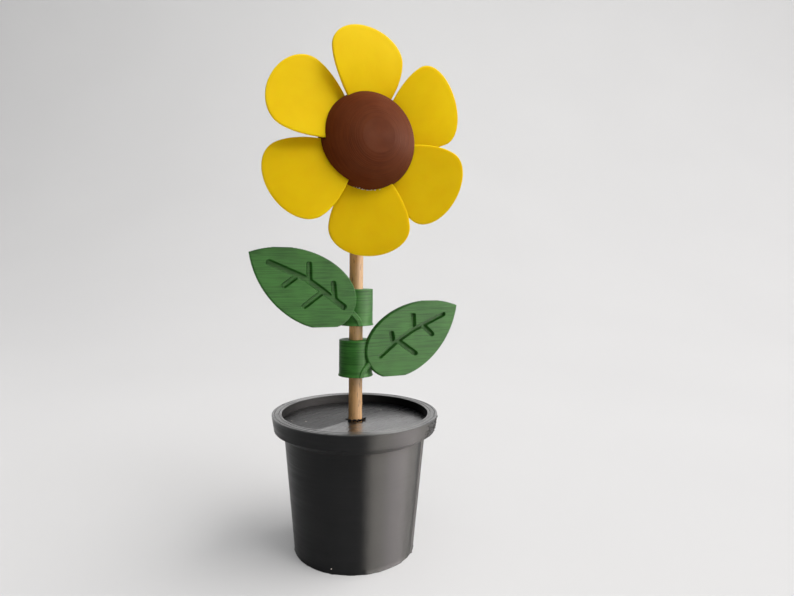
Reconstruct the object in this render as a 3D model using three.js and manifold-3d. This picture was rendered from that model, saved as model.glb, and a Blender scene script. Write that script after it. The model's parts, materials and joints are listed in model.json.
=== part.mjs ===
// A printed toy sunflower in a pot. Six petals plug into a domed centre, which is pushed onto a
// wooden dowel. Two leaves with ring-shaped roots grip the dowel, and a round plate closes the pot
// and holds the dowel upright over a socket in the pot's floor.
// Millimetres, +Z up. The stem stands on the Z axis from the table at Z = 0, and the flower faces -Y.

import * as THREE from "three";
import { mergeVertices } from "three/addons/utils/BufferGeometryUtils.js";
import Module from "manifold-3d";

const wasm = await Module();
wasm.setup();

const degree = Math.PI / 180;
const clearance = 0.3; // between two pieces that push together
const overcut = 1; // how far a cutting body runs past the face it opens
const weld = 1e-4; // points closer than this are one point
const sides = { pot: 96, ring: 48, stem: 32, centre: 60, bossHalf: 16, vein: 8, leafCurve: 20 };

const stem = { radius: 4, foot: 3.3, top: 243 };

const pot = {
  height: 80,
  baseRadius: 35,
  taper: 5.1 * degree,
  wall: 3,
  floor: 3,
  rim: { radius: 48.3, lowerRadius: 46.9, width: 5.8, height: 9, chamfer: 3.5 },
  socket: { radius: 7.5, top: 16 },
};

const plate = { recess: 5, thickness: 3, hole: 5.2, throat: 1.5, boss: 8.5, bossLength: 22 };

const collar = { radius: 9.75, height: 21, flare: 0.6, flareHeight: 1.4 };

// A leaf is drawn in its own plane from its base: "along" the midrib and "across" it.
const leaf = {
  front: 11,
  thickness: 4,
  bevel: 0.7,
  baseOut: 5,
  baseUp: 7,
  climb: 31 * degree,
  length: 65.8,
  base: { along: -0.5, across: 22.5 },
  shoulder: { along: 43, across: 28 },
  groove: { midrib: 3.1, side: 2.7, depth: 1.5 },
  stalk: { width: 3, inset: 0.4 },
};
// From inside the blade's base, round and down the front of the collar: outward, upward.
const leafStalk = [[9, 10.5], [4.5, 7.4], [1.2, 3.6], [-0.5, -2]];
const leaves = [
  {
    name: "leaf_upper",
    side: -1,
    height: 131,
    turn: -4 * degree,
    veins: [
      [[6.5, 0.9], [20, 2.4], [33, 3.5], [54, 0.6]],
      [[30.6, 3.6], [35.4, 11.2]],
      [[13.2, 2], [18.4, 9.2]],
      [[37.6, 2.6], [41, -5.8]],
      [[21, 2.4], [25.8, -9.9]],
    ],
  },
  {
    name: "leaf_lower",
    side: 1,
    height: 101.3,
    turn: 0,
    veins: [
      [[7.9, 1], [20, 2.8], [33, 3], [55, 0.2]],
      [[33.6, 3], [37.6, 10.3]],
      [[18, 2.6], [20.6, 8.6]],
      [[40, 2], [42.4, -5.9]],
      [[21.8, 2.6], [27.3, -9.8]],
    ],
  },
];

// The flower's own frame: "along" a petal from the centre, "across" it, and "depth" toward -Y.
const flower = { height: 232.8, forward: 19.8, roll: -0.8 * degree };

const petal = {
  count: 6,
  root: 17,
  widest: 46,
  tip: 61.5,
  thickness: 2,
  narrowHalf: 9.2,
  wideHalf: 22.4,
  swell: 1.72,
  twist: 12.1 * degree,
  bend: -0.0036,
  bendFrom: 37,
  rows: { straight: 8, tip: 9, blunt: 0.5 },
  columns: 8,
};
// How far each petal is pushed into its slot past the common depth.
const petalPush = [0, 0, 0, -0.7, 0, 1.5];

const centre = {
  radius: 26.5,
  domeHeight: 17.3,
  domeFrom: -1.4,
  patch: 8.5,
  domeSteps: 12,
  rimBack: -8,
  back: -12,
  backRadius: 21,
  slotSide: 0.8,
  slotRows: 4,
  boss: { radius: 8.5, bottom: -17, top: 14, sunk: 2 },
};

// ---- solids ----

function solid(geometry) {
  const bare = geometry.index ? geometry.toNonIndexed() : geometry.clone();
  bare.deleteAttribute("normal");
  bare.deleteAttribute("uv");
  const merged = mergeVertices(bare, weld);
  return new wasm.Manifold(new wasm.Mesh({
    numProp: 3,
    vertProperties: Float32Array.from(merged.attributes.position.array),
    triVerts: Uint32Array.from(merged.index.array),
  }));
}

function geometryOf(body) {
  const mesh = body.getMesh();
  const geometry = new THREE.BufferGeometry();
  geometry.setAttribute("position", new THREE.BufferAttribute(mesh.vertProperties, 3));
  geometry.setIndex(new THREE.BufferAttribute(mesh.triVerts, 1));
  geometry.computeVertexNormals();
  return geometry;
}

// A body turned round the Z axis from points of (radius, height).
function turned(profile, segments) {
  const points = profile.map(([radius, height]) => new THREE.Vector2(radius, height));
  return new THREE.LatheGeometry(points, segments).rotateX(Math.PI / 2);
}

function upright(radius, bottom, top, segments) {
  return turned([[0, bottom], [radius, bottom], [radius, top], [0, top]], segments);
}

// ---- pot and plate ----

const bodyRadius = (height) => pot.baseRadius + height * Math.tan(pot.taper);
const rimInner = pot.rim.radius - pot.rim.width;
const plateTop = pot.height - plate.recess;
const ledge = plateTop - plate.thickness;

function potGeometry() {
  const band = pot.height - pot.rim.height;
  const neck = band - pot.rim.chamfer;
  const bore = stem.radius + clearance;
  return turned([
    [0, 0],
    [pot.baseRadius, 0],
    [bodyRadius(neck), neck],
    [pot.rim.lowerRadius, band],
    [pot.rim.radius, pot.height],
    [rimInner, pot.height],
    [rimInner, ledge],
    [bodyRadius(ledge) - pot.wall, ledge],
    [bodyRadius(pot.floor) - pot.wall, pot.floor],
    [pot.socket.radius, pot.floor],
    [pot.socket.radius, pot.socket.top],
    [bore, pot.socket.top],
    [bore, pot.floor],
    [0, pot.floor],
  ], sides.pot);
}

function plateGeometry() {
  const edge = rimInner - clearance;
  const bore = stem.radius + clearance;
  const bossEnd = ledge - plate.bossLength;
  return turned([
    [plate.hole, plateTop],
    [plate.hole, plateTop - plate.throat],
    [bore, plateTop - plate.throat],
    [bore, bossEnd],
    [plate.boss, bossEnd],
    [plate.boss, ledge],
    [edge, ledge],
    [edge, plateTop],
    [plate.hole, plateTop],
  ], sides.pot);
}

// ---- leaves ----

// A bar "depth" thick along a line of points, with round ends and mitred bends.
function stroke(points, width, depth) {
  const half = width / 2;
  const line = points.map((point) => new THREE.Vector2(...point));
  const normals = line.slice(1).map((end, i) => {
    const run = end.clone().sub(line[i]).normalize();
    return new THREE.Vector2(-run.y, run.x);
  });
  const bends = line.slice(1, -1).map((point, i) => {
    const sum = normals[i].clone().add(normals[i + 1]);
    const mitre = sum.multiplyScalar(half / (1 + normals[i].dot(normals[i + 1])));
    return { right: point.clone().sub(mitre), left: point.clone().add(mitre) };
  });
  const start = line[0];
  const end = line[line.length - 1];
  const startAngle = normals[0].angle();
  const endAngle = normals[normals.length - 1].angle() + Math.PI;
  const shape = new THREE.Shape();
  shape.absarc(start.x, start.y, half, startAngle, startAngle + Math.PI, false);
  bends.forEach(({ right }) => shape.lineTo(right.x, right.y));
  shape.absarc(end.x, end.y, half, endAngle, endAngle + Math.PI, false);
  bends.reverse().forEach(({ left }) => shape.lineTo(left.x, left.y));
  const bar = { depth, bevelEnabled: false, curveSegments: sides.vein };
  return solid(new THREE.ExtrudeGeometry(shape, bar));
}

function leafGeometry(side, veins) {
  // From the leaf's own directions to its upright plane: outward from the stem, and upward.
  const place = ([along, across]) => [
    side * (leaf.baseOut + along * Math.cos(leaf.climb) - across * Math.sin(leaf.climb)),
    leaf.baseUp + along * Math.sin(leaf.climb) + across * Math.cos(leaf.climb),
  ];
  const { base, shoulder, groove, stalk } = leaf;
  const outline = new THREE.Shape();
  outline.moveTo(...place([0, 0]));
  outline.bezierCurveTo(
    ...place([base.along, base.across]),
    ...place([shoulder.along, shoulder.across]),
    ...place([leaf.length, 0]),
  );
  outline.bezierCurveTo(
    ...place([shoulder.along, -shoulder.across]),
    ...place([base.along, -base.across]),
    ...place([0, 0]),
  );
  const blade = new THREE.ExtrudeGeometry(outline, {
    depth: leaf.thickness - 2 * leaf.bevel,
    bevelThickness: leaf.bevel,
    bevelSize: leaf.bevel,
    bevelOffset: -leaf.bevel,
    bevelSegments: 1,
    curveSegments: sides.leafCurve,
  }).translate(0, 0, leaf.bevel);
  const route = leafStalk.map(([out, up]) => [side * out, up]);
  const bar = stroke(route, stalk.width, leaf.thickness - 2 * stalk.inset)
    .translate([0, 0, stalk.inset]);
  const [midrib, ...sideVeins] = veins.map((points, i) => (
    stroke(points.map(place), i === 0 ? groove.midrib : groove.side, leaf.thickness)
  ));
  const grooves = sideVeins.reduce((whole, vein) => whole.add(vein), midrib)
    .translate([0, 0, leaf.thickness - groove.depth]);

  const drawn = solid(blade).add(bar).subtract(grooves);
  const standing = drawn.rotate([90, 0, 0]).translate([0, leaf.thickness - leaf.front, 0]);
  const ring = solid(turned([
    [0, 0],
    [collar.radius + collar.flare, 0],
    [collar.radius, collar.flareHeight],
    [collar.radius, collar.height],
    [0, collar.height],
  ], sides.ring));
  const boreTop = collar.height + overcut;
  const bore = solid(upright(stem.radius + clearance, -overcut, boreTop, sides.stem));
  // Blade and stalk are cut off level with the collar's foot.
  const below = new THREE.BoxGeometry(2 * leaf.length, 2 * leaf.length, leaf.length);
  const bed = solid(below.translate(0, 0, -leaf.length / 2));
  return geometryOf(standing.add(ring).subtract(bore).subtract(bed));
}

// ---- flower ----

function petalHalfWidth(along) {
  const { root, widest, tip, narrowHalf, wideHalf, swell } = petal;
  if (along <= widest) {
    return wideHalf - (wideHalf - narrowHalf) * ((widest - along) / (widest - root)) ** swell;
  }
  return wideHalf * Math.sqrt(1 - ((along - widest) / (tip - widest)) ** 2);
}

// The middle surface of a petal, twisted about its own length and bent back at the tip.
function petalPoint(index, along, across, lift) {
  const angle = index * (2 * Math.PI / petal.count) + flower.roll;
  const out = along - petalPush[index];
  const sideways = across * Math.cos(petal.twist);
  const depth = across * Math.tan(petal.twist) + petal.bend * (along - petal.bendFrom) ** 2 + lift;
  return new THREE.Vector3(
    out * Math.sin(angle) - sideways * Math.cos(angle),
    -flower.forward - depth,
    flower.height + out * Math.cos(angle) + sideways * Math.sin(angle),
  );
}

// A closed slab from rows of points across it: a front and a back surface and the rim between.
function slab(index, rows, columns, thickness) {
  const positions = [];
  const lift = thickness / 2 / Math.cos(petal.twist);
  for (const level of [lift, -lift]) {
    for (const { along, half } of rows) {
      for (let j = 0; j <= columns; j += 1) {
        const across = half * (2 * j / columns - 1);
        positions.push(...petalPoint(index, along, across, level));
      }
    }
  }
  const stride = columns + 1;
  const back = rows.length * stride;
  const faces = [];
  const quad = (a, b, c, d) => faces.push(a, b, c, a, c, d);
  for (let i = 0; i < rows.length - 1; i += 1) {
    for (let j = 0; j < columns; j += 1) {
      const a = i * stride + j;
      quad(a, a + stride, a + stride + 1, a + 1);
      quad(back + a, back + a + 1, back + a + stride + 1, back + a + stride);
    }
    const left = i * stride;
    const right = left + columns;
    quad(left, back + left, back + left + stride, left + stride);
    quad(right, right + stride, back + right + stride, back + right);
  }
  const last = (rows.length - 1) * stride;
  for (let j = 0; j < columns; j += 1) {
    quad(j, j + 1, back + j + 1, back + j);
    quad(last + j, back + last + j, back + last + j + 1, last + j + 1);
  }
  const geometry = new THREE.BufferGeometry();
  geometry.setAttribute("position", new THREE.Float32BufferAttribute(positions, 3));
  geometry.setIndex(faces);
  geometry.computeVertexNormals();
  return geometry;
}

function petalGeometry(index) {
  const { root, widest, tip, rows } = petal;
  const stations = [];
  for (let i = 0; i < rows.straight; i += 1) {
    stations.push(THREE.MathUtils.lerp(root, widest, i / rows.straight));
  }
  // Even steps of angle round the elliptical tip, stopping "blunt" of a step short of its point.
  for (let i = 0; i <= rows.tip; i += 1) {
    const angle = (i / (rows.tip + rows.blunt)) * (Math.PI / 2);
    stations.push(widest + (tip - widest) * Math.sin(angle));
  }
  const outline = stations.map((along) => ({ along, half: petalHalfWidth(along) }));
  return slab(index, outline, petal.columns, petal.thickness);
}

function slotSolid(index) {
  const stations = [petal.root - clearance];
  for (let i = 1; i <= centre.slotRows; i += 1) {
    stations.push(THREE.MathUtils.lerp(petal.root, petal.widest, i / petal.rows.straight));
  }
  const outline = stations.map((along) => (
    { along, half: petalHalfWidth(along) + centre.slotSide }
  ));
  return solid(slab(index, outline, petal.columns, petal.thickness + 2 * clearance));
}

function centreGeometry() {
  const { radius, domeHeight, domeFrom, patch, domeSteps, boss } = centre;
  const patchAngle = Math.acos(patch / radius);
  const profile = [[0, centre.back], [centre.backRadius, centre.back], [radius, centre.rimBack]];
  for (let i = 0; i <= domeSteps; i += 1) {
    const angle = patchAngle * i / domeSteps;
    profile.push([radius * Math.cos(angle), domeFrom + domeHeight * Math.sin(angle)]);
  }
  profile.push([0, domeFrom + domeHeight * Math.sin(patchAngle)]);
  const dome = turned(profile, sides.centre).rotateX(Math.PI / 2)
    .translate(0, -flower.forward, flower.height);

  // The boss behind the dome: round about the stem, with straight cheeks into the dome's back.
  const cheek = flower.forward + centre.back + boss.sunk;
  const section = new THREE.Shape();
  section.moveTo(-boss.radius, -cheek);
  section.lineTo(boss.radius, -cheek);
  section.absarc(0, 0, boss.radius, 0, Math.PI, false);
  const holder = new THREE.ExtrudeGeometry(section, {
    depth: boss.top - boss.bottom,
    bevelEnabled: false,
    curveSegments: sides.bossHalf,
  }).translate(0, 0, flower.height + boss.bottom);

  const socketTop = stem.top + clearance;
  const boreBottom = flower.height + boss.bottom - overcut;
  const bore = upright(stem.radius + clearance, boreBottom, socketTop, sides.stem);
  let body = solid(dome).add(solid(holder)).subtract(solid(bore));
  for (let index = 0; index < petal.count; index += 1) {
    body = body.subtract(slotSolid(index));
  }
  return geometryOf(body);
}

// ---- scene ----

const blackPlastic = { color: 0x24262a, roughness: 0.42, metalness: 0 };
const greenPlastic = { color: 0x4f8050, roughness: 0.5, metalness: 0 };
const brownPlastic = { color: 0x5a3322, roughness: 0.55, metalness: 0 };
const yellowPlastic = { color: 0xe9c52a, roughness: 0.5, metalness: 0 };
const dowelWood = { color: 0xb98d58, roughness: 0.7, metalness: 0 };

function piece(name, geometry, finish) {
  const mesh = new THREE.Mesh(geometry, new THREE.MeshStandardMaterial(finish));
  mesh.name = name;
  return mesh;
}

const sunflower = new THREE.Group();
sunflower.name = "potted_sunflower";
sunflower.add(piece("pot", potGeometry(), blackPlastic));
sunflower.add(piece("soil_plate", plateGeometry(), blackPlastic));
sunflower.add(piece("stem", upright(stem.radius, stem.foot, stem.top, sides.stem), dowelWood));
for (const { name, side, height, turn, veins } of leaves) {
  const mesh = piece(name, leafGeometry(side, veins), greenPlastic);
  mesh.position.z = height;
  mesh.rotation.z = turn;
  sunflower.add(mesh);
}
sunflower.add(piece("flower_centre", centreGeometry(), brownPlastic));
for (let index = 0; index < petal.count; index += 1) {
  sunflower.add(piece(`petal_${index + 1}`, petalGeometry(index), yellowPlastic));
}

export default sunflower;
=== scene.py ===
import json
import math
import random

import bmesh
import bpy
import numpy as np
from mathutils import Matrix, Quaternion, Vector, noise

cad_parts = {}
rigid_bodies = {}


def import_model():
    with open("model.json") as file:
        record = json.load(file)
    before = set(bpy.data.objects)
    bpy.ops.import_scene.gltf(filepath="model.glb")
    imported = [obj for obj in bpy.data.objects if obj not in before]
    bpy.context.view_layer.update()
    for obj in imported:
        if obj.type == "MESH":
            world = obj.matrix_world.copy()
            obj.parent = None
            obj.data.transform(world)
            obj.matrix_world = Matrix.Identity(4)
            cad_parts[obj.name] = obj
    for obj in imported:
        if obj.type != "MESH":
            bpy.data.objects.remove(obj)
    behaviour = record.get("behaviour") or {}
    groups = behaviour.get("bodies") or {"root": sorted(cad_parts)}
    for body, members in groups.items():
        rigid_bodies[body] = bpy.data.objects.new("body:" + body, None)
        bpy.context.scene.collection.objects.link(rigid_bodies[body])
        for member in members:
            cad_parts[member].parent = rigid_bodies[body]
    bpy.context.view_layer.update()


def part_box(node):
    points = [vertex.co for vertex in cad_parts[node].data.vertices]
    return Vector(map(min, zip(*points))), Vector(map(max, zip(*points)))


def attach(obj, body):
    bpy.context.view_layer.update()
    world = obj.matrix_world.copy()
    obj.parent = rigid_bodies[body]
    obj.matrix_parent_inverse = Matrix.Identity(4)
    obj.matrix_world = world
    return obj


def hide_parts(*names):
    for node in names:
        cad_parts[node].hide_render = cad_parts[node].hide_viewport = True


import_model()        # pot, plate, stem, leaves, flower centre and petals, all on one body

mm = 0.001  # every size below is in millimetres
body = "root"
random.seed(7)

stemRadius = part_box("stem")[1].x / mm
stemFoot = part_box("stem")[0].z / mm
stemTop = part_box("stem")[1].z / mm
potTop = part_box("pot")[1].z / mm
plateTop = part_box("soil_plate")[1].z / mm
room = 0.3  # between two pieces that push together
near = 0.1  # two sizes closer than this count as the same
past = 1  # how far a cutter runs past what it cuts


def buildPiece(name, points, faces, material, sharpAngle=38):
    # a mesh from points in millimetres; edges sharper than sharpAngle, in degrees, stay crisp
    mesh = bpy.data.meshes.new(name)
    mesh.from_pydata([[c * mm for c in p] for p in points], [], faces)
    work = bmesh.new()
    work.from_mesh(mesh)
    bmesh.ops.recalc_face_normals(work, faces=work.faces)
    work.to_mesh(mesh)
    work.free()
    piece = bpy.data.objects.new(name, mesh)
    bpy.context.scene.collection.objects.link(piece)
    mesh.materials.append(material)
    smooth(mesh, sharpAngle)
    return piece


def smooth(mesh, sharpAngle):
    mesh.shade_smooth()
    mesh.set_sharp_from_angle(angle=math.radians(sharpAngle))


def around(out, angle):
    return out * math.cos(angle), out * math.sin(angle)


def wander(angle, waves, level=0):
    # smooth noise from about -1 to 1 that closes on itself round the turn
    return noise.noise(Vector((*around(waves, angle), level)))


def tubeFaces(rings, count):
    # the walls between rings of count points that are listed one after another
    faces = []
    for r in range(rings - 1):
        for j in range(count):
            after = (j + 1) % count
            faces.append([r * count + j, r * count + after, (r + 1) * count + after, (r + 1) * count + j])
    return faces


def place(piece, slot, *nodes):
    # the piece stands for these CAD nodes and rides with them
    if nodes:
        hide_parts(*nodes)
    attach(piece, body)


def merge(piece, others, operation, sharpAngle=38):
    # joins the other solids to the piece, or cuts them out of it, and then removes them
    for other in others:
        step = piece.modifiers.new(operation, "BOOLEAN")
        step.operation = operation
        step.solver = "MANIFOLD"
        step.object = other
    bpy.context.view_layer.update()
    result = piece.evaluated_get(bpy.context.evaluated_depsgraph_get())
    mesh = bpy.data.meshes.new_from_object(result)
    piece.modifiers.clear()
    piece.data = mesh
    smooth(mesh, sharpAngle)
    for other in others:
        bpy.data.objects.remove(other)


def rounded(corners, steps=4):
    # corners are (radius, height, fillet); a fillet turns its corner into a short arc
    points = []
    for i, (radius, height, fillet) in enumerate(corners):
        here = Vector((radius, height))
        if not fillet:
            points.append(tuple(here))
            continue
        before = (Vector(corners[i - 1][:2]) - here).normalized()
        after = (Vector(corners[(i + 1) % len(corners)][:2]) - here).normalized()
        half = before.angle(after) / 2
        middle = here + (before + after).normalized() * (fillet / math.sin(half))
        first = here + before * (fillet / math.tan(half)) - middle
        last = here + after * (fillet / math.tan(half)) - middle
        start = math.atan2(first.y, first.x)
        sweep = (math.atan2(last.y, last.x) - start + math.pi) % (2 * math.pi) - math.pi
        for k in range(steps + 1):
            angle = start + sweep * k / steps
            points.append((middle.x + fillet * math.cos(angle), middle.y + fillet * math.sin(angle)))
    return points


def divided(points, gap, closed=False):
    # puts more points into every straight stretch longer than the gap
    path = []
    ends = points[1:] + points[:1] if closed else points[1:]
    for a, b in zip(points, ends):
        count = max(1, math.ceil(math.dist(a, b) / gap))
        path += [tuple(p + (q - p) * k / count for p, q in zip(a, b)) for k in range(count)]
    return path if closed else path + [points[-1]]


def lathe(profile, segments, wobble=None):
    # turns (radius, height) points about Z; a profile that leaves the axis open is joined end to end
    points, rings, faces = [], [], []
    for radius, height in profile:
        ring = []
        for k in range(segments if radius > 0 else 1):
            angle = 2 * math.pi * k / segments
            far = radius + (wobble(angle, radius, height) if wobble else 0)
            ring.append(len(points))
            points.append((*around(far, angle), height))
        rings.append(ring)
    if len(rings[0]) > 1:
        rings.append(rings[0])
    for low, high in zip(rings, rings[1:]):
        for k in range(segments):
            quad = [low[k % len(low)], low[(k + 1) % len(low)],
                    high[(k + 1) % len(high)], high[k % len(high)]]
            faces.append(list(dict.fromkeys(quad)))
    return points, faces


def linear(hexColour):
    # sRGB hex to the linear numbers that a shader takes
    channels = [int(hexColour[i:i + 2], 16) / 255 for i in (1, 3, 5)]
    return [c / 12.92 if c < 0.04045 else ((c + 0.055) / 1.055) ** 2.4 for c in channels] + [1]


def addNode(tree, kind, settings=None, inputs=None):
    # Settings are the node's own choices. Inputs are numbers or other nodes' outputs, by the socket's
    # name, or by its place where names repeat: a MapRange has its value at 0, its range at 1 and 2 and
    # the new range at 3 and 4, and a colour Mix has its share at 0 and its colours at 6 and 7.
    node = tree.nodes.new("ShaderNode" + kind)
    for name, value in (settings or {}).items():
        setattr(node, name, value)
    for socket, value in (inputs or {}).items():
        if isinstance(value, bpy.types.NodeSocket):
            tree.links.new(value, node.inputs[socket])
        else:
            node.inputs[socket].default_value = value
    return node


def newMaterial(name):
    material = bpy.data.materials.new(name)
    material.use_nodes = True
    tree = material.node_tree
    tree.nodes.clear()
    spot = addNode(tree, "TexCoord")
    return material, tree, spot.outputs["Object"]


# what the printed finishes share: the stretch of each noise that they use, and how a bead wavers
printed = dict(
    streakUse=(0.4, 0.64), cloudUse=(0.35, 0.7), glossUse=(0.3, 0.7), waver=0.6, waverSize=0.15,
    wavePeriod=math.pi / 10,  # of the wave pattern, at a scale of 1
    acrossBeads=0.25)  # of a turn, from along a bead to across it


def printedPlastic(name, look):
    # Fused-filament PLA. Beads laid in layers catch the light in fine parallel lines, the hot nozzle
    # leaves duller and shinier stretches along them, and the colour deepens where a bead is thick.
    # One bead is too fine to show, so the streaks are drawn thicker than a layer.
    material, tree, spot = newMaterial(name)
    if "turn" in look:
        turned = addNode(tree, "Mapping", {"vector_type": "TEXTURE"}, {
            "Vector": spot, "Rotation": (0, 0, math.radians(look["turn"]))})
        spot = turned.outputs[0]
    long, thick = look["streak"]
    size = [long * mm] * 3
    size["xyz".index(look["stack"])] = thick * mm
    lay = addNode(tree, "Mapping", {"vector_type": "TEXTURE"}, {"Vector": spot, "Scale": size})
    streak = addNode(tree, "TexNoise", inputs={
        "Vector": lay.outputs[0], "Scale": 1, "Detail": 3, "Roughness": 0.6})
    cloud = addNode(tree, "TexNoise", inputs={
        "Vector": spot, "Scale": 1 / mm / look["cloud"], "Detail": 2})
    bead = addNode(tree, "TexWave", {"bands_direction": look["stack"].upper()}, {
        "Vector": spot, "Scale": printed["wavePeriod"] / mm / look["layer"],
        "Distortion": printed["waver"], "Detail": 1, "Detail Scale": printed["waverSize"]})
    grit = addNode(tree, "TexNoise", inputs={
        "Vector": spot, "Scale": 1 / mm / look["grit"], "Detail": 2})

    low, high = printed["streakUse"]
    deepness = addNode(tree, "MapRange", inputs={
        0: streak.outputs[0], 1: low, 2: high, 3: 0, 4: look["streakShare"]})
    low, high = printed["cloudUse"]
    cloudiness = addNode(tree, "MapRange", inputs={
        0: cloud.outputs[0], 1: low, 2: high, 3: 0, 4: look["cloudShare"]})
    streaked = addNode(tree, "Mix", {"data_type": "RGBA"}, {
        0: deepness.outputs[0], 6: linear(look["tone"]), 7: linear(look["deep"])})
    colour = addNode(tree, "Mix", {"data_type": "RGBA"}, {
        0: cloudiness.outputs[0], 6: streaked.outputs[2], 7: linear(look["pale"])})
    low, high = printed["glossUse"]
    gloss = addNode(tree, "MapRange", inputs={
        0: streak.outputs[0], 1: low, 2: high, 3: look["roughness"][0], 4: look["roughness"][1]})

    ridges = addNode(tree, "Math", {"operation": "MULTIPLY"}, {
        0: bead.outputs[1], 1: look["beadShare"]})
    uneven = addNode(tree, "Math", {"operation": "MULTIPLY_ADD"}, {
        0: streak.outputs[0], 1: look["unevenShare"], 2: ridges.outputs[0]})
    height = addNode(tree, "Math", {"operation": "MULTIPLY_ADD"}, {
        0: grit.outputs[0], 1: look["gritShare"], 2: uneven.outputs[0]})
    relief = addNode(tree, "Bump", inputs={
        "Strength": 1, "Distance": look["relief"] * mm, "Height": height.outputs[0]})
    along = addNode(tree, "Tangent", {"direction_type": "RADIAL", "axis": look["stack"].upper()})
    shader = addNode(tree, "BsdfPrincipled", inputs={
        "Base Color": colour.outputs[2], "Roughness": gloss.outputs[0], "IOR": look["ior"],
        "Normal": relief.outputs[0], "Tangent": along.outputs[0], "Anisotropic": look["spread"],
        "Anisotropic Rotation": printed["acrossBeads"]})
    for socket, value in look.get("shader", {}).items():
        shader.inputs[socket].default_value = value
    addNode(tree, "OutputMaterial", inputs={"Surface": shader.outputs[0]})
    return material


# walls of stacked beads, where a highlight is drawn out into a tall band
blackLook = dict(
    tone="#08090B", deep="#040506", pale="#0C0D0F", stack="z", layer=0.3, streak=(30, 0.7), cloud=24,
    grit=0.5, streakShare=0.8, cloudShare=0.35, beadShare=0.5, unevenShare=0.6, gritShare=0.1,
    relief=0.03, roughness=(0.34, 0.46), ior=1.4, spread=1.0)
# the wall above the plate, dull and without that band
recessLook = dict(blackLook, roughness=(0.5, 0.62), spread=0.0, shader={"Specular IOR Level": 0.2})
# the rim's top layers, pressed flat by the nozzle, with a clear sheen
rimLook = dict(
    blackLook, roughness=(0.25, 0.4), ior=1.45, spread=0.0,
    shader={"Coat Weight": 1.0, "Coat Roughness": 0.25, "Coat IOR": 1.85})
# the plate's top lines, laid side by side at an angle to the front
plateLook = dict(
    blackLook, turn=25, stack="y", streak=(26, 0.9), beadShare=0.5, unevenShare=1.0, relief=0.03,
    roughness=(0.18, 0.4), ior=1.45, spread=0.0,
    shader={"Coat Roughness": 0.23, "Coat IOR": 2.1})
# leaves, light and dark from layer to layer
greenLook = dict(
    tone="#366C2C", deep="#20471B", pale="#4B8639", stack="z", layer=0.3, streak=(16, 0.5), cloud=16,
    grit=0.35, streakShare=0.85, cloudShare=0.35, beadShare=0.5, unevenShare=0.9, gritShare=0.2,
    relief=0.07, roughness=(0.46, 0.52), ior=1.46, spread=0.92, shader={"Specular IOR Level": 0.13})
# the flower's centre, with hardly any shine
brownLook = dict(
    tone="#5E2B10", deep="#491F0A", pale="#64351A", stack="y", layer=0.3, streak=(14, 0.5), cloud=9,
    grit=0.4, streakShare=0.45, cloudShare=0.4, beadShare=0.3, unevenShare=0.5, gritShare=0.15,
    relief=0.05, roughness=(0.5, 0.62), ior=1.46, spread=0.5,
    shader={"Specular IOR Level": 0.025})
# thin petals that let a little light through, which evens out their colour
yellowLook = dict(
    tone="#DCBB0D", deep="#D4AD08", pale="#E1C415", stack="y", layer=0.3, streak=(20, 4), cloud=20,
    grit=0.45, streakShare=0.35, cloudShare=0.4, beadShare=0.0, unevenShare=0.25, gritShare=0.1,
    relief=0.05, roughness=(0.44, 0.54), ior=1.46, spread=0.0,
    shader={"Specular IOR Level": 0.03, "Subsurface Weight": 0.6, "Subsurface Radius": (1, 0.7, 0.12),
            "Subsurface Scale": 3 * mm})
# pale lumps: crumbs and scuffs whitened where the plastic tore, and on the flower's centre a painted glint
# where its rough edge catches the light
paleLook = dict(
    yellowLook, tone="#CFC3BA", deep="#A8988C", pale="#DDD6CF", shader={"Specular IOR Level": 0.4})
dowelLook = dict(
    tone="#DDB07A", deep="#BC8B57", warm="#C08F50", fleck="#5E3D1F",
    fibreWidth=0.45, fibreLength=22, fleckWidth=1.1, fleckLength=5, band=26, relief=0.05,
    fibreUse=(0.35, 0.7), fleckUse=(0.58, 0.72), fleckShare=0.6, bandUse=(0.35, 0.65), bandShare=0.5,
    roughness=(0.5, 0.68), ior=1.5, gleam=0.25)


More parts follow.
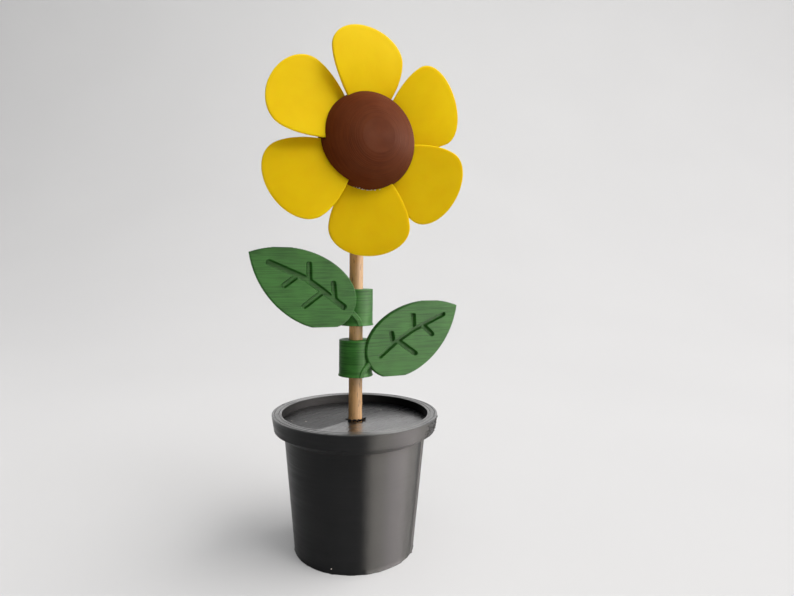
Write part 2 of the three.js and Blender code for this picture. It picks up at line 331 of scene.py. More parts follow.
def sandedDowel(look):
    # Sanded hardwood dowel with no varnish: long fibres, darker flecks along them, and a dull sheen.
    # The fibres are drawn many times too wide, because real ones are too fine to show.
    material, tree, spot = newMaterial("sandedBeechDowel")
    width, length = look["fibreWidth"], look["fibreLength"]
    fibreMap = addNode(tree, "Mapping", inputs={
        "Vector": spot, "Scale": (1 / mm / width, 1 / mm / width, 1 / mm / length)})
    fibre = addNode(tree, "TexNoise", inputs={
        "Vector": fibreMap.outputs[0], "Scale": 1, "Detail": 4, "Roughness": 0.65})
    width, length = look["fleckWidth"], look["fleckLength"]
    fleckMap = addNode(tree, "Mapping", inputs={
        "Vector": spot, "Scale": (1 / mm / width, 1 / mm / width, 1 / mm / length)})
    fleck = addNode(tree, "TexNoise", inputs={
        "Vector": fleckMap.outputs[0], "Scale": 1, "Detail": 2})
    band = addNode(tree, "TexNoise", inputs={"Vector": spot, "Scale": 1 / mm / look["band"], "Detail": 1})
    low, high = look["fibreUse"]
    grain = addNode(tree, "MapRange", inputs={0: fibre.outputs[0], 1: low, 2: high})
    low, high = look["fleckUse"]
    fleckDark = addNode(tree, "MapRange", inputs={
        0: fleck.outputs[0], 1: low, 2: high, 3: 0, 4: look["fleckShare"]})
    low, high = look["bandUse"]
    bandTone = addNode(tree, "MapRange", inputs={
        0: band.outputs[0], 1: low, 2: high, 3: 0, 4: look["bandShare"]})
    base = addNode(tree, "Mix", {"data_type": "RGBA"}, {
        0: grain.outputs[0], 6: linear(look["tone"]), 7: linear(look["deep"])})
    banded = addNode(tree, "Mix", {"data_type": "RGBA"}, {
        0: bandTone.outputs[0], 6: base.outputs[2], 7: linear(look["warm"])})
    flecked = addNode(tree, "Mix", {"data_type": "RGBA"}, {
        0: fleckDark.outputs[0], 6: banded.outputs[2], 7: linear(look["fleck"])})
    relief = addNode(tree, "Bump", inputs={
        "Strength": 1, "Distance": look["relief"] * mm, "Height": fibre.outputs[0]})
    gloss = addNode(tree, "MapRange", inputs={
        0: fibre.outputs[0], 3: look["roughness"][0], 4: look["roughness"][1]})
    shader = addNode(tree, "BsdfPrincipled", inputs={
        "Base Color": flecked.outputs[2], "Roughness": gloss.outputs[0], "IOR": look["ior"],
        "Specular IOR Level": look["gleam"], "Normal": relief.outputs[0]})
    addNode(tree, "OutputMaterial", inputs={"Surface": shader.outputs[0]})
    return material


# how much coat lies outside the wedge, and where the wedge fades out, across its edge and backwards
plateFill = dict(dull=0.08, edge=(-0.6, 0.4), front=(-14, 10))


def shinyFill(material, fill):
    # one wedge of the plate's top was filled by lines that lie smoother than the rest
    tree = material.node_tree
    turned = next(n for n in tree.nodes if n.type == "MAPPING")  # the first, which turns the lines
    across = addNode(tree, "SeparateXYZ", inputs={0: turned.outputs[0]})
    plain = addNode(tree, "SeparateXYZ", inputs={0: turned.inputs[0].links[0].from_socket})
    low, high = fill["edge"]
    inside = addNode(tree, "MapRange", inputs={
        0: across.outputs["Y"], 1: low * mm, 2: high * mm, 3: 1, 4: 0})
    low, high = fill["front"]
    front = addNode(tree, "MapRange", inputs={
        0: plain.outputs["Y"], 1: low * mm, 2: high * mm, 3: 1, 4: 0})
    coat = addNode(tree, "Math", {"operation": "MULTIPLY_ADD", "use_clamp": True}, {
        0: inside.outputs[0], 1: front.outputs[0], 2: fill["dull"]})
    shader = next(n for n in tree.nodes if n.type == "BSDF_PRINCIPLED")
    tree.links.new(coat.outputs[0], shader.inputs["Coat Weight"])


blackPla = printedPlastic("printedBlackPla", blackLook)
rimPla = printedPlastic("smoothBlackPla", rimLook)
recessPla = printedPlastic("dullBlackPla", recessLook)
platePla = printedPlastic("ironedBlackPla", plateLook)
shinyFill(platePla, plateFill)
greenPla = printedPlastic("printedGreenPla", greenLook)
brownPla = printedPlastic("printedBrownPla", brownLook)
yellowPla = printedPlastic("printedYellowPla", yellowLook)
palePla = printedPlastic("scuffAndGlintPla", paleLook)
dowelWood = sandedDowel(dowelLook)
print("finishes ready")


speck = dict(rings=((0, -1), (0.8, -0.6), (1, 0), (0.8, 0.6), (0, 1)), sides=8, squash=(0.7, 1.2))


def makeSpecks(name, spots, slot, material):
    # small lumps of plastic, each a squashed ball; a spot is (x, y, z, radius)
    points, faces = [], []
    for x, y, z, radius in spots:
        first = len(points)
        lump, sides = lathe([(r * radius, h * radius) for r, h in speck["rings"]], speck["sides"])
        squash = [random.uniform(*speck["squash"]) for _ in range(3)]
        points += [(x + p[0] * squash[0], y + p[1] * squash[1], z + p[2] * squash[2]) for p in lump]
        faces += [[first + i for i in side] for side in sides]
    piece = buildPiece(name, points, faces, material, sharpAngle=80)
    place(piece, slot)


pot = dict(
    baseRadius=35, taper=5.1, wall=3, floor=3, footInset=0.1, footBulge=0.2, footHeight=0.7,
    neck=67.5, bandBottom=71, bandRadius=46.9, rimRadius=48.3, rimWidth=5.8, topLayers=0.5,
    grooves=(1.7, 4.2), grooveWidth=0.5, grooveDepth=0.4,
    ledge=plateTop - 3, recessSkin=0.4, socketRadius=7.5, socketTop=16,
    segments=360, rowGap=2.2, skin=1, wobble=0.06, wobbleAcross=14, wobbleUp=5,
    footBumps=((-62, 0.5, 1.6), (-129, 0.45, 2.2), (-96, 0.25, 3), (-35, 0.3, 2), (70, 0.4, 2)),
    footFade=1.4, ruffle=0.5, ruffles=9, nick=(-127.5, -0.7, 0.7), nickFade=1.6,
    specks=((-129.5, 35.45, 3, 0.35),), seam=(-41, 0.7, 1.3), seamDrift=1.2, seamWave=9,
    scar=90, scarFrom=-56, scarTo=-29, scarShare=(0.08, 0.9), scarRadius=(0.25, 0.5))
bandRise = potTop - pot["bandBottom"]
bandFlare = pot["rimRadius"] - pot["bandRadius"]
rimInner = pot["rimRadius"] - pot["rimWidth"]
rimCut = potTop - pot["topLayers"]
rimAtCut = pot["rimRadius"] - bandFlare * pot["topLayers"] / bandRise


def bulge(angle, spot):
    # a local lump, or a dent where its size is negative: (angle, size, half width in degrees)
    where, size, width = spot
    apart = (math.degrees(angle) - where + 180) % 360 - 180
    return size * math.exp(-(apart / width) ** 2)


def potWobble(angle, radius, height):
    # walls of a print wander a little from layer to layer and round the turn
    if radius < stemRadius + 2 * room:
        return 0
    x, y = around(radius, angle)
    spot = Vector((x / pot["wobbleAcross"], y / pot["wobbleAcross"], height / pot["wobbleUp"]))
    out = pot["wobble"] * noise.noise(spot)
    # the first layers are squashed out and torn in places
    if height < pot["footFade"] and radius > pot["baseRadius"] - pot["skin"]:
        torn = pot["ruffle"] * wander(angle, pot["ruffles"])
        bumps = sum(bulge(angle, bump) for bump in pot["footBumps"])
        out += (1 - height / pot["footFade"]) * (bumps + max(0, torn))
    # a seam runs up the wall where every layer began
    if height < pot["neck"] and radius > pot["baseRadius"] - pot["skin"]:
        drift = math.radians(pot["seamDrift"] * noise.noise(Vector((0, 0, height / pot["seamWave"]))))
        out += bulge(angle + drift, pot["seam"])
    # the rim's edge has a nick
    if height > potTop - pot["nickFade"] and radius > pot["rimRadius"] - pot["skin"]:
        out += (1 - (potTop - height) / pot["nickFade"]) * bulge(angle, pot["nick"])
    return out


def wallRadius(height):
    # the outside of the tapered wall
    return pot["baseRadius"] + height * math.tan(math.radians(pot["taper"]))


def makePot():
    corners = [
        (0, 0, 0),
        (wallRadius(0) - pot["footInset"], 0, 0.15),
        (wallRadius(0) + pot["footBulge"], pot["footHeight"] / 2, 0.2),
        (wallRadius(pot["footHeight"]), pot["footHeight"], 0),
        (wallRadius(pot["neck"]), pot["neck"], 1.2),
        (pot["bandRadius"], pot["bandBottom"], 0.5),
        (rimAtCut, rimCut, 0),
        (rimInner, rimCut, 0),
        (rimInner, pot["ledge"], 0),
        (wallRadius(pot["ledge"]) - pot["wall"], pot["ledge"], 0),
        (wallRadius(pot["floor"]) - pot["wall"], pot["floor"], 1.5),
        (pot["socketRadius"], pot["floor"], 0.8),
        (pot["socketRadius"], pot["socketTop"], 0.3),
        (stemRadius + room, pot["socketTop"], 0.2),
        (stemRadius + room, pot["floor"], 0),
        (0, pot["floor"], 0),
    ]
    profile = divided(rounded(corners), pot["rowGap"])
    piece = buildPiece("pot_print", *lathe(profile, pot["segments"], potWobble), blackPla)
    # the wall above the plate is duller than the rest
    piece.data.materials.append(recessPla)
    reach = (rimInner + pot["recessSkin"]) * mm
    for face in piece.data.polygons:
        if face.center.z > pot["ledge"] * mm and face.center.xy.length < reach:
            face.material_index = 1
    place(piece, "black_plastic", "pot")


def makeRim():
    # the rim's last layers lie flat and smooth, with the rings that their lines leave
    corners = [(rimAtCut, rimCut, 0), (pot["rimRadius"], potTop, 0.4)]
    half = pot["grooveWidth"] / 2
    for inset in pot["grooves"]:
        middle = pot["rimRadius"] - inset
        corners += [
            (middle + half, potTop, 0.12),
            (middle, potTop - pot["grooveDepth"], 0),
            (middle - half, potTop, 0.12),
        ]
    corners += [(rimInner, potTop, 0.3), (rimInner, rimCut, 0)]
    profile = divided(rounded(corners), pot["rowGap"], closed=True)
    piece = buildPiece("pot_rim", *lathe(profile, pot["segments"], potWobble), rimPla)
    place(piece, "black_plastic")


def makeScar():
    # every layer of the band ended at the same place and left a rough scar there
    lumps = []
    for _ in range(pot["scar"]):
        angle = math.radians(random.uniform(pot["scarFrom"], pot["scarTo"]))
        share = random.uniform(*pot["scarShare"])
        out = pot["bandRadius"] + bandFlare * share
        height = pot["bandBottom"] + bandRise * share
        lumps.append((*around(out, angle), height, random.uniform(*pot["scarRadius"])))
    makeSpecks("pot_scar", lumps, "black_plastic", blackPla)


makePot()
makeRim()
crumbs = [(*around(out, math.radians(a)), height, radius) for a, out, height, radius in pot["specks"]]
makeSpecks("pot_specks", crumbs, "black_plastic", palePla)
makeScar()
print("pot turned")


plate = dict(
    thickness=3, hole=5.2, throat=1.5, mouth=0.6, ragged=0.95, raggedWaves=3, raggedLevel=0.4,
    torn=(-92, 2, 46), boss=8.5, bossLength=22, edge=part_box("soil_plate")[1].x / mm, segments=256,
    rowGap=3, specks=((-28.3, 5.3, 0.45), (-35.5, 10, 0.3), (22, 14, 0.3)),
    burrs=34, burrFrom=-160, burrTo=-15, burrOut=(4.9, 6.1), burrUp=(0, 0.8), burrRadius=(0.4, 0.75))


def plateWobble(angle, radius, height):
    # the mouth round the dowel is torn where the last beads turned back
    if radius > plate["hole"] + plate["mouth"] or height < plateTop - plate["throat"] - near:
        return 0
    torn = bulge(angle, plate["torn"])
    return torn + plate["ragged"] * wander(angle, plate["raggedWaves"], plate["raggedLevel"])


def makePlate():
    bottom = plateTop - plate["thickness"]
    bore = stemRadius + room
    corners = [
        (plate["hole"], plateTop, 0.25),
        (plate["hole"], plateTop - plate["throat"], 0),
        (bore, plateTop - plate["throat"], 0),
        (bore, bottom - plate["bossLength"], 0.3),
        (plate["boss"], bottom - plate["bossLength"], 0.4),
        (plate["boss"], bottom, 0.8),
        (plate["edge"], bottom, 0.3),
        (plate["edge"], plateTop, 0.3),
    ]
    profile = divided(rounded(corners), plate["rowGap"], closed=True)
    piece = buildPiece("plate_print", *lathe(profile, plate["segments"], plateWobble), platePla)
    place(piece, "black_plastic", "soil_plate")


def makeBurrs():
    # the torn mouth stands up a little in front of the dowel
    lumps = []
    for _ in range(plate["burrs"]):
        angle = math.radians(random.uniform(plate["burrFrom"], plate["burrTo"]))
        x, y = around(random.uniform(*plate["burrOut"]), angle)
        height = plateTop + random.uniform(*plate["burrUp"])
        lumps.append((x, y, height, random.uniform(*plate["burrRadius"])))
    makeSpecks("plate_burrs", lumps, "black_plastic", recessPla)


makePlate()
crumbs = [(x, y, plateTop, radius) for x, y, radius in plate["specks"]]
makeSpecks("plate_specks", crumbs, "black_plastic", palePla)
makeBurrs()
print("plate turned")


stem = dict(chamfer=0.35, segments=72, rowGap=3, wobble=0.05, waves=2, waveLength=18, inward=0.5)


def stemWobble(angle, radius, height):
    # a turned dowel wavers along its length, mostly inwards; the points on its axis stay where they are
    waver = wander(angle, stem["waves"], height / stem["waveLength"]) - stem["inward"]
    return stem["wobble"] * waver if radius > near else 0


def makeStem():
    corners = [
        (0, stemFoot, 0),
        (stemRadius, stemFoot, stem["chamfer"]),
        (stemRadius, stemTop, stem["chamfer"]),
        (0, stemTop, 0),
    ]
    profile = divided(rounded(corners), stem["rowGap"])
    piece = buildPiece("dowel", *lathe(profile, stem["segments"], stemWobble), dowelWood)
    place(piece, "dowel_wood", "stem")


makeStem()
print("dowel cut")


# A leaf is drawn in its own plane from its base: along the midrib and across it.
leaf = dict(
    front=11, thickness=4, bevel=0.7, baseOut=5, baseUp=7, climb=31, length=65.8,
    base=(-0.5, 22.5), shoulder=(43, 28), layer=0.3, ledge=0.03, edgeJitter=0.05,
    grooveDepth=2.1, sideVein=2.5, grooveSlope=0.5, veinGap=4, columns=220, backColumns=28, crowding=0.75,
    stalk=((9, 10.5), (4.5, 7.4), (1.2, 3.6), (-0.5, -2)), stalkWidth=3, stalkInset=0.4, stalkGap=1.5,
    stalkBevel=0.5, cutterWide=1.2, cutterDeep=10)
leafCollar = dict(
    radius=9.75, height=21, flare=0.6, flareHeight=1.4, segments=128, rowGap=0.6, ripple=0.04, ripples=2)
leaves = [
    dict(node="leaf_upper", side=-1, turn=-4, midrib=3, veins=[
        [(6.5, 0.9), (20, 2.4), (33, 3.5), (54, 0.6)],
        [(30.6, 3.6), (35.4, 11.2)],
        [(13.2, 2), (18.4, 9.2)],
        [(37.6, 2.6), (41, -5.8)],
        [(21, 2.4), (25.8, -9.9)],
    ]),
    dict(node="leaf_lower", side=1, turn=0, midrib=2.1, veins=[
        [(7.9, 1), (20, 2.8), (33, 3), (55, 0.2)],
        [(33.6, 3), (37.6, 10.3)],
        [(18, 2.6), (20.6, 8.6)],
        [(40, 2), (42.4, -5.9)],
        [(21.8, 2.6), (27.3, -9.8)],
    ]),
]


def leafSpot(along, across):
    # from the leaf's own directions to (outward, upward) in its upright plane
    climb = math.radians(leaf["climb"])
    return (leaf["baseOut"] + along * math.cos(climb) - across * math.sin(climb),
            leaf["baseUp"] + along * math.sin(climb) + across * math.cos(climb))


def leafOutline(steps=90):
    # one smooth curve from base to tip on each side, the same in mirror image
    base, shoulder, tip = leaf["base"], leaf["shoulder"], (leaf["length"], 0)
    upper = [(0, 0), base, shoulder, tip]
    lower = [(x, -y) for x, y in reversed(upper)]
    outline = []
    for a, b, c, d in (upper, lower):
        for k in range(steps):
            t = k / steps
            weights = ((1 - t) ** 3, 3 * t * (1 - t) ** 2, 3 * t * t * (1 - t), t ** 3)
            outline.append(leafSpot(*[sum(w * p[i] for w, p in zip(weights, (a, b, c, d)))
                                      for i in (0, 1)]))
    return np.array(outline)


def distanceToLine(spots, line):
    # shortest distance from every spot to a line of points
    best = np.full(len(spots), math.inf)
    for a, b in zip(line, line[1:]):
        run = b - a
        share = np.clip((spots - a) @ run / (run @ run), 0, 1)
        best = np.minimum(best, np.linalg.norm(spots - a - share[:, None] * run, axis=1))
    return best


def crowdedEnds(count):
    # places from 0 to 1 that lie closer together near both ends
    t = np.linspace(0, 1, count)
    return t - leaf["crowding"] * np.sin(2 * np.pi * t) / (2 * np.pi)


def bladePoints(veins, midrib):
    # one level slice of the blade for each printed layer: the height of its underside, and its ring
    outline = leafOutline()
    loop = np.vstack([outline, outline[:1]])
    lines = [np.array([leafSpot(*p) for p in divided(vein, leaf["veinGap"])]) for vein in veins]
    widths = [midrib] + [leaf["sideVein"]] * (len(veins) - 1)
    rings = []
    for k in range(int(outline[:, 1].max() / leaf["layer"])):
        low = k * leaf["layer"]
        level = low + leaf["layer"] / 2
        above = loop[:, 1] > level
        cuts = []
        for i in np.nonzero(above[:-1] != above[1:])[0]:
            share = (level - loop[i, 1]) / (loop[i + 1, 1] - loop[i, 1])
            cuts.append(loop[i, 0] + share * (loop[i + 1, 0] - loop[i, 0]))
        if len(cuts) < 2:
            continue
        jitter = [random.uniform(-1, 1) * leaf["edgeJitter"] for _ in cuts]
        left, right = sorted(cuts)
        left, right = left + jitter[0], right + jitter[1]
        ledge = random.uniform(0, 1) * leaf["ledge"]
        slices = []
        for columns in (leaf["columns"], leaf["backColumns"]):
            out = left + (right - left) * crowdedEnds(columns)
            spots = np.column_stack([out, np.full(columns, level)])
            rim = distanceToLine(spots, loop)
            rim[0] = rim[-1] = 0
            slices.append((out, spots, np.maximum(0, leaf["bevel"] - rim)))
        out, spots, bevel = slices[0]
        # a vein is a groove whose walls ease in and out
        sunk = np.zeros(len(out))
        for line, width in zip(lines, widths):
            edge = (distanceToLine(spots, line) - width / 2) / leaf["grooveSlope"]
            fall = np.clip(0.5 - edge / 2, 0, 1)
            sunk = np.maximum(sunk, leaf["grooveDepth"] * fall * fall * (3 - 2 * fall))
        front = np.column_stack([out, -leaf["front"] + np.maximum(bevel, sunk) + ledge])
        out, _, bevel = slices[1]
        back = np.column_stack([out, -leaf["front"] + leaf["thickness"] - bevel - ledge])[::-1]
        rings.append((low, np.vstack([front, back])))
    return rings


def makeBlade(name, veins, midrib, side):
    # each slice stands a layer high, and a small ledge parts it from the next
    rings = bladePoints(veins, midrib)
    count = len(rings[0][1])
    points = []
    for low, ring in rings:
        for z in (low, low + leaf["layer"]):
            points += [(side * x, y, z) for x, y in ring]
    faces = tubeFaces(2 * len(rings), count)
    faces += [list(range(count))[::-1], list(range(len(points) - count, len(points)))]
    return buildPiece(name, points, faces, greenPla)


def makeStalk(side):
    # a bar with softened edges from inside the blade, round and down the front of the collar
    half = leaf["stalkWidth"] / 2
    line = [Vector((side * x, z)) for x, z in divided(leaf["stalk"], leaf["stalkGap"])]
    front = -leaf["front"] + leaf["stalkInset"]
    back = -leaf["front"] + leaf["thickness"]
    soft = leaf["stalkBevel"]
    section = [(-half, back), (-half, front + soft), (-half + soft, front),
               (half - soft, front), (half, front + soft), (half, back)]
    points = []
    for i, here in enumerate(line):
        run = (line[min(i + 1, len(line) - 1)] - line[max(i - 1, 0)]).normalized()
        flank = Vector((-run.y, run.x))
        for across, y in section:
            spot = here + flank * across
            points.append((spot.x, y, spot.y))
    count = len(section)
    faces = tubeFaces(len(line), count)
    faces += [list(range(count)), list(range(len(points) - count, len(points)))]
    return buildPiece("stalk", points, faces, greenPla)


def collarRipple(angle, radius, height):
    return leafCollar["ripple"] * wander(angle, leafCollar["ripples"], height)


def makeCollar():
    wide = leafCollar["radius"]
    corners = [
        (0, 0, 0),
        (wide + leafCollar["flare"], 0, 0.25),
        (wide, leafCollar["flareHeight"], 0.6),
        (wide, leafCollar["height"], 0.3),
        (0, leafCollar["height"], 0),
    ]
    profile = divided(rounded(corners), leafCollar["rowGap"])
    return buildPiece("collar", *lathe(profile, leafCollar["segments"], collarRipple), greenPla)


def solidBar(radius, bottom, top, segments=64):
    # a plain round cutter
    profile = [(0, bottom), (radius, bottom), (radius, top), (0, top)]
    return buildPiece("bar", *lathe(profile, segments), greenPla)


def makeLeaf(spec):
    # blade, stalk and collar are one print, bored for the dowel and cut off flat underneath
    collar = makeCollar()
    merge(collar, [makeStalk(spec["side"])], "UNION")
    blade = makeBlade(spec["node"] + "_print", spec["veins"], spec["midrib"], spec["side"])
    merge(blade, [collar], "UNION")
    below = solidBar(leaf["length"] * leaf["cutterWide"], -leaf["cutterDeep"], 0, segments=8)
    bore = solidBar(stemRadius + room, -past, leafCollar["height"] + past)
    merge(blade, [bore, below], "DIFFERENCE", sharpAngle=30)
    blade.rotation_euler.z = math.radians(spec["turn"])
    blade.location.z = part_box(spec["node"])[0].z
    place(blade, "green_plastic", spec["node"])


for spec in leaves:
    makeLeaf(spec)
print("leaves printed")


flower = dict(height=232.8, forward=19.8, roll=-0.8, petals=6)
petal = dict(
    root=17, widest=46, tip=61.5, thickness=2, narrowHalf=9.2, wideHalf=22.4, swell=1.72,
    twist=12.1, bend=-0.0036, bendFrom=37, push=(0, 0, 0, -0.7, 0, 1.5), middle=40,
    edgeRadius=0.5, edgeSteps=3, sideSteps=40, tipSteps=60, rootSteps=12, shrink=(0.93, 0.8, 0.6, 0.4, 0.2))
centre = dict(
    radius=26.5, domeHeight=17.3, domeFrom=-1.4, patch=8.5, rimBack=-8, back=-12, backRadius=21,
    slotSide=0.8, slotReach=32, layer=0.4, rowsPerLayer=6, ripple=0.02, segments=144, wallGap=0.5,
    bossRadius=8.5, bossBottom=-17, bossTop=14, bossSunk=2, bossSteps=40,
    specks=46, speckFrom=-110, speckTo=-58, speckMost=-88, speckRise=(-1.2, 1.8), speckRadius=(0.18, 0.42))


def petalHalf(along):
    # half the width at this distance from the flower's middle
    if along <= petal["widest"]:
        share = (petal["widest"] - along) / (petal["widest"] - petal["root"])
        return petal["wideHalf"] - (petal["wideHalf"] - petal["narrowHalf"]) * share ** petal["swell"]
    share = min(1, (along - petal["widest"]) / (petal["tip"] - petal["widest"]))
    return petal["wideHalf"] * math.sqrt(1 - share * share)


def petalSpot(index, along, across, lift):
    # from the petal's own directions to its place in the flower, turned a little like a fan's blade
    angle = index * 2 * math.pi / flower["petals"] + math.radians(flower["roll"])
    twist = math.radians(petal["twist"])
    out = along - petal["push"][index]
    sideways = across * math.cos(twist)
    depth = across * math.tan(twist) + petal["bend"] * (along - petal["bendFrom"]) ** 2 + lift
    return (out * math.sin(angle) - sideways * math.cos(angle), -flower["forward"] - depth,
            flower["height"] + out * math.cos(angle) + sideways * math.sin(angle))


def petalOutline(start, end, wider=0):
    # down one side from the root, round the tip where there is one, and back along the other side
    steps = petal["sideSteps"]
    stop = min(end, petal["widest"])
    side = [(a, petalHalf(a) + wider) for a in np.linspace(start, stop, steps)]
    if end > petal["widest"]:
        reach = end - petal["widest"]
        for k in range(1, petal["tipSteps"]):
            angle = math.pi / 2 * k / petal["tipSteps"]
            side.append((petal["widest"] + reach * math.sin(angle), petal["wideHalf"] * math.cos(angle)))
        side.append((end, 0))
    mirrored = [(a, -h) for a, h in reversed(side) if h > 0]
    root = [(start, h) for h in np.linspace(-side[0][1], side[0][1], petal["rootSteps"])[1:-1]]
    return np.array(side + mirrored + root)


def petalShell(name, index, outline, levels, middle, material):
    # walls through (inset, lift) levels from front to back, and two caps that close on the middle
    towards = np.roll(outline, -1, 0) - np.roll(outline, 1, 0)
    inward = np.column_stack([towards[:, 1], -towards[:, 0]])
    inward /= np.linalg.norm(inward, axis=1)[:, None]
    centreSpot = np.array([middle, 0])
    rings = [(outline + inward * inset, lift) for inset, lift in levels]
    shrink = petal["shrink"]
    front = [(centreSpot + (rings[0][0] - centreSpot) * s, rings[0][1]) for s in reversed(shrink)]
    back = [(centreSpot + (rings[-1][0] - centreSpot) * s, rings[-1][1]) for s in shrink]
    rings = front + rings + back
    points = []
    for ring, lift in rings:
        points += [petalSpot(index, a, c, lift) for a, c in ring]
    count = len(outline)
    faces = tubeFaces(len(rings), count)
    for ring, lift in ((0, rings[0][1]), (len(rings) - 1, rings[-1][1])):
        points.append(petalSpot(index, middle, 0, lift))
        last = len(points) - 1
        faces += [[ring * count + j, ring * count + (j + 1) % count, last] for j in range(count)]
    return buildPiece(name, points, faces, material, sharpAngle=50)


def makePetal(index):
    half = petal["thickness"] / 2 / math.cos(math.radians(petal["twist"]))
    soft = petal["edgeRadius"]
    steps = petal["edgeSteps"]
    levels = []
    for start in (0, math.pi / 2):
        for k in range(steps + 1):
            angle = start + math.pi / 2 * k / steps
            lift = (half - soft) * (1 if start == 0 else -1) + soft * math.cos(angle)
            levels.append((soft * (1 - math.sin(angle)), lift))
    outline = petalOutline(petal["root"], petal["tip"])
    node = f"petal_{index + 1}"
    piece = petalShell(node + "_print", index, outline, levels, petal["middle"], yellowPla)
    place(piece, "yellow_plastic", node)


def makeSlot(index):
    # the slit that a petal's root pushes into, with room round it
    half = (petal["thickness"] / 2 + room) / math.cos(math.radians(petal["twist"]))
    outline = petalOutline(petal["root"] - room, centre["slotReach"], centre["slotSide"])
    middle = (petal["root"] + centre["slotReach"]) / 2
    return petalShell("slot", index, outline, [(0, half), (0, -half)], middle, brownPla)


def domeProfile():
    # the dome's own curve with a faint ripple, one wave a layer; layers are drawn a third too thick
    patchAngle = math.acos(centre["patch"] / centre["radius"])
    top = centre["domeFrom"] + centre["domeHeight"] * math.sin(patchAngle)
    gap = centre["wallGap"]
    wall = [(centre["radius"], h) for h in np.arange(centre["rimBack"] + gap, centre["domeFrom"], gap)]
    dome = []
    steps = int(centre["rowsPerLayer"] * (top - centre["domeFrom"]) / centre["layer"])
    for k in range(steps + 1):
        height = centre["domeFrom"] + (top - centre["domeFrom"]) * k / steps
        angle = math.asin((height - centre["domeFrom"]) / centre["domeHeight"])
        swell = centre["ripple"] * math.cos(2 * math.pi * height / centre["layer"])
        dome.append(((centre["radius"] + swell) * math.cos(angle), height + swell * math.sin(angle)))
    back = [(0, centre["back"]), (centre["backRadius"], centre["back"]),
            (centre["radius"], centre["rimBack"])]
    return back + wall + dome + [(0, dome[-1][1])]


def makeBoss():
    # the block behind the dome that the dowel pushes into, round at the back and flat in front
    front = flower["forward"] + centre["back"] + centre["bossSunk"]
    wide = centre["bossRadius"]
    section = [(-wide, -front), (wide, -front)]
    section += [around(wide, a) for a in np.linspace(0, math.pi, centre["bossSteps"])]
    points = [(x, y, flower["height"] + z) for z in (centre["bossBottom"], centre["bossTop"])
              for x, y in section]
    count = len(section)
    ends = [list(range(count)), list(range(count, 2 * count))]
    return buildPiece("boss", points, tubeFaces(2, count) + ends, brownPla)


def makeCentre():
    turned, faces = lathe(domeProfile(), centre["segments"])
    facing = [(x, -flower["forward"] - h, flower["height"] + z) for x, z, h in turned]
    piece = buildPiece("centre_print", facing, faces, brownPla, sharpAngle=50)
    merge(piece, [makeBoss()], "UNION")
    bore = solidBar(stemRadius + room, flower["height"] + centre["bossBottom"] - past, stemTop + room)
    slots = [makeSlot(index) for index in range(flower["petals"])]
    merge(piece, [bore] + slots, "DIFFERENCE", sharpAngle=50)
    place(piece, "brown_plastic", "flower_centre")


def makeGlintLumps():
    # the lowest edge kept rough: small lumps along it, coloured pale as a painted glint where that rough
    # edge catches the light
    lumps = []
    for _ in range(centre["specks"]):
        turn = random.triangular(centre["speckFrom"], centre["speckTo"], centre["speckMost"])
        rise = random.uniform(*centre["speckRise"])
        out = centre["radius"] * math.cos(max(0, rise) / centre["domeHeight"])
        x, z = around(out, math.radians(turn))
        lumps.append((x, -flower["forward"] - rise, flower["height"] + z,
                      random.uniform(*centre["speckRadius"])))
    # their pale colour is a painted highlight, a glint on the rough lowest edge
    makeSpecks("centre_specks", lumps, "brown_plastic", palePla)


for index in range(flower["petals"]):
    makePetal(index)
makeCentre()
makeGlintLumps()
print("flower assembled")


camera = dict(
    spot=(-105.4, -300.9, 162.9), azimuth=-23.6, elevation=2.89, roll=0.628, lens=24.71, clip=(10, 20000))
# the sweep's colour is graded by height and side into painted shade, and its glow is painted light of its
# own
stage = dict(
    wide=5000, front=-2500, bend=450, bendRadius=1500, bendSteps=24, height=2600, glow=0.12, rough=0.8,
    tones=("#A9A9AA", "#C7C7C7"), toneFrom=60, toneTo=1200, paintedRiseShade=(0.42, 0.92), paintedSideShade=-0.23,
    cloudsPerMetre=3, cloudShare=0.16)
sky = dict(colour="#E9ECEE", strength=0.06)
lightAim = (0, 0, 120)
# shine=False gives light without a highlight, and light=False a highlight without light
lights = [
    dict(name="window", azimuth=62, elevation=46, away=8000,
         size=(10400, 5800), watts=960, colour="#FFFCFA"),
    dict(name="curtain", azimuth=14, elevation=30, away=8000,
         size=(4400, 6400), watts=80, colour="#FFFFFF", shine=False),
    dict(name="ceiling", azimuth=0, elevation=76, away=3000,
         size=(4400, 4400), watts=70, colour="#FFFFFF"),
    dict(name="pane", azimuth=54, elevation=14, away=8000,
         size=(6000, 3200), watts=1350, colour="#FFF2F6", light=False),
    dict(name="sidePane", azimuth=17, elevation=14, away=8000,
         size=(3700, 3200), watts=520, colour="#FFF6EA", light=False),
    dict(name="panes", azimuth=52, elevation=14, away=8000,
         size=(20000, 3200), watts=3900, colour="#FFF8EE", light=False),
]


def backVector(azimuth, elevation):
    # from the object towards a camera or light in this direction
    a, e = math.radians(azimuth), math.radians(elevation)
    return Vector((math.sin(a) * math.cos(e), -math.cos(a) * math.cos(e), math.sin(e)))


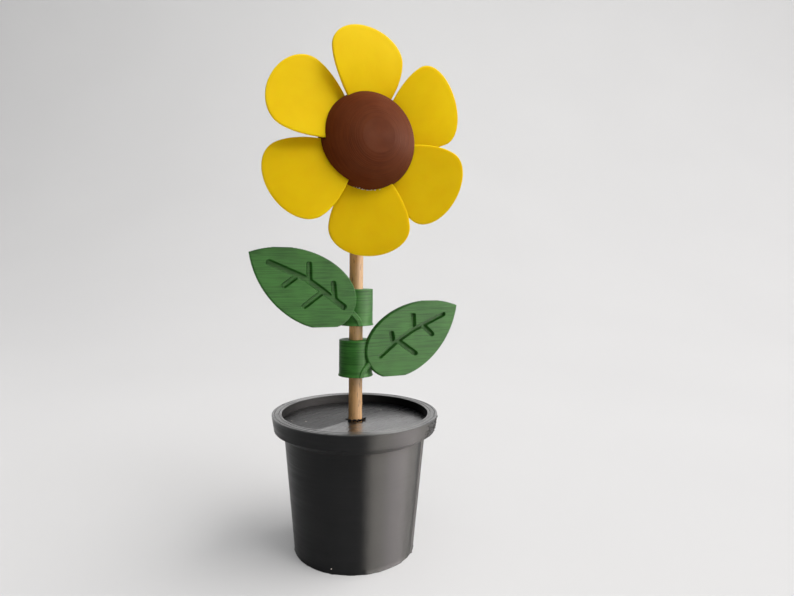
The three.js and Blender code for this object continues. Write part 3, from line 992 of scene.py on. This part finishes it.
def mattCard():
    # Matt card with no shine. Its colour is painted shade: paler upwards and darker towards both sides, in
    # place of the light's falloff. It also glows faintly, which is painted light that lifts the shadows on
    # it.
    material, tree, spot = newMaterial("paleCardPaintedFalloff")
    cloud = addNode(tree, "TexNoise", inputs={
        "Vector": spot, "Scale": stage["cloudsPerMetre"], "Detail": 1})
    axes = addNode(tree, "SeparateXYZ", inputs={0: spot})
    # painted shade: the colour grows paler with height and darker with distance to either side
    low, high = stage["paintedRiseShade"]
    rise = addNode(tree, "MapRange", inputs={
        0: axes.outputs["Z"], 1: stage["toneFrom"] * mm, 2: stage["toneTo"] * mm, 3: low, 4: high})
    aside = addNode(tree, "Math", {"operation": "ABSOLUTE"}, {0: axes.outputs["X"]})
    paintedFalloff = addNode(tree, "Math", {"operation": "MULTIPLY_ADD"}, {
        0: aside.outputs[0], 1: stage["paintedSideShade"], 2: rise.outputs[0]})
    share = addNode(tree, "Math", {"operation": "MULTIPLY_ADD", "use_clamp": True}, {
        0: cloud.outputs[0], 1: stage["cloudShare"], 2: paintedFalloff.outputs[0]})
    tone = addNode(tree, "Mix", {"data_type": "RGBA"}, {
        0: share.outputs[0], 6: linear(stage["tones"][0]), 7: linear(stage["tones"][1])})
    # the faint glow is painted light, which lifts the shadows cast on the sweep
    shader = addNode(tree, "BsdfPrincipled", inputs={
        "Base Color": tone.outputs[2], "Roughness": stage["rough"], "Specular IOR Level": 0,
        "Emission Color": (1, 1, 1, 1), "Emission Strength": stage["glow"]})
    addNode(tree, "OutputMaterial", inputs={"Surface": shader.outputs[0]})
    return material


def makeStage():
    # a pale table top that sweeps up behind the pot, turned square to the camera
    profile = [(stage["front"], 0)]
    for k in range(stage["bendSteps"] + 1):
        angle = math.pi / 2 * k / stage["bendSteps"]
        profile.append((stage["bend"] + stage["bendRadius"] * math.sin(angle),
                        stage["bendRadius"] * (1 - math.cos(angle))))
    profile.append((stage["bend"] + stage["bendRadius"], stage["height"]))
    points = [(x, y, z) for y, z in profile for x in (-stage["wide"] / 2, stage["wide"] / 2)]
    faces = [[2 * k, 2 * k + 1, 2 * k + 3, 2 * k + 2] for k in range(len(profile) - 1)]
    sweep = buildPiece("sweep", points, faces, mattCard(), sharpAngle=180)
    sweep.rotation_euler.z = math.radians(camera["azimuth"])


def addLight(spec):
    lamp = bpy.data.lights.new(spec["name"], "AREA")
    lamp.shape = "RECTANGLE"
    lamp.size, lamp.size_y = (side * mm for side in spec["size"])
    lamp.energy = spec["watts"]
    lamp.color = linear(spec["colour"])[:3]
    holder = bpy.data.objects.new(spec["name"], lamp)
    bpy.context.scene.collection.objects.link(holder)
    back = backVector(spec["azimuth"], spec["elevation"])
    holder.location = Vector(lightAim) * mm + back * spec["away"] * mm
    holder.rotation_mode = "QUATERNION"
    holder.rotation_quaternion = (-back).to_track_quat("-Z", "Y")
    holder.visible_camera = False
    holder.visible_diffuse = spec.get("light", True)
    holder.visible_glossy = spec.get("shine", True)
    if not holder.visible_diffuse:
        holder.light_linking.receiver_collection = shinedPieces


def addCamera():
    lens = bpy.data.cameras.new("view")
    lens.lens = camera["lens"]
    lens.clip_start, lens.clip_end = (distance * mm for distance in camera["clip"])
    holder = bpy.data.objects.new("view", lens)
    bpy.context.scene.collection.objects.link(holder)
    holder.location = Vector(camera["spot"]) * mm
    holder.rotation_mode = "QUATERNION"
    back = backVector(camera["azimuth"], camera["elevation"])
    roll = Quaternion((0, 0, 1), math.radians(camera["roll"]))
    holder.rotation_quaternion = (-back).to_track_quat("-Z", "Y") @ roll
    bpy.context.scene.camera = holder


def addSky():
    world = bpy.data.worlds.new("room")
    world.use_nodes = True
    background = world.node_tree.nodes["Background"]
    background.inputs["Color"].default_value = linear(sky["colour"])
    background.inputs["Strength"].default_value = sky["strength"]
    bpy.context.scene.world = world


makeStage()
# the panes' highlights stay off the flat, smooth pieces, which would mirror them whole from the side
shinedPieces = bpy.data.collections.new("shinedPieces")
for piece in bpy.context.scene.objects:
    if not piece.name.startswith(("plate_", "pot_rim", "petal_")):
        shinedPieces.objects.link(piece)
for spec in lights:
    addLight(spec)
addSky()
addCamera()
bpy.context.scene.view_settings.view_transform = "Standard"
print("stage lit")
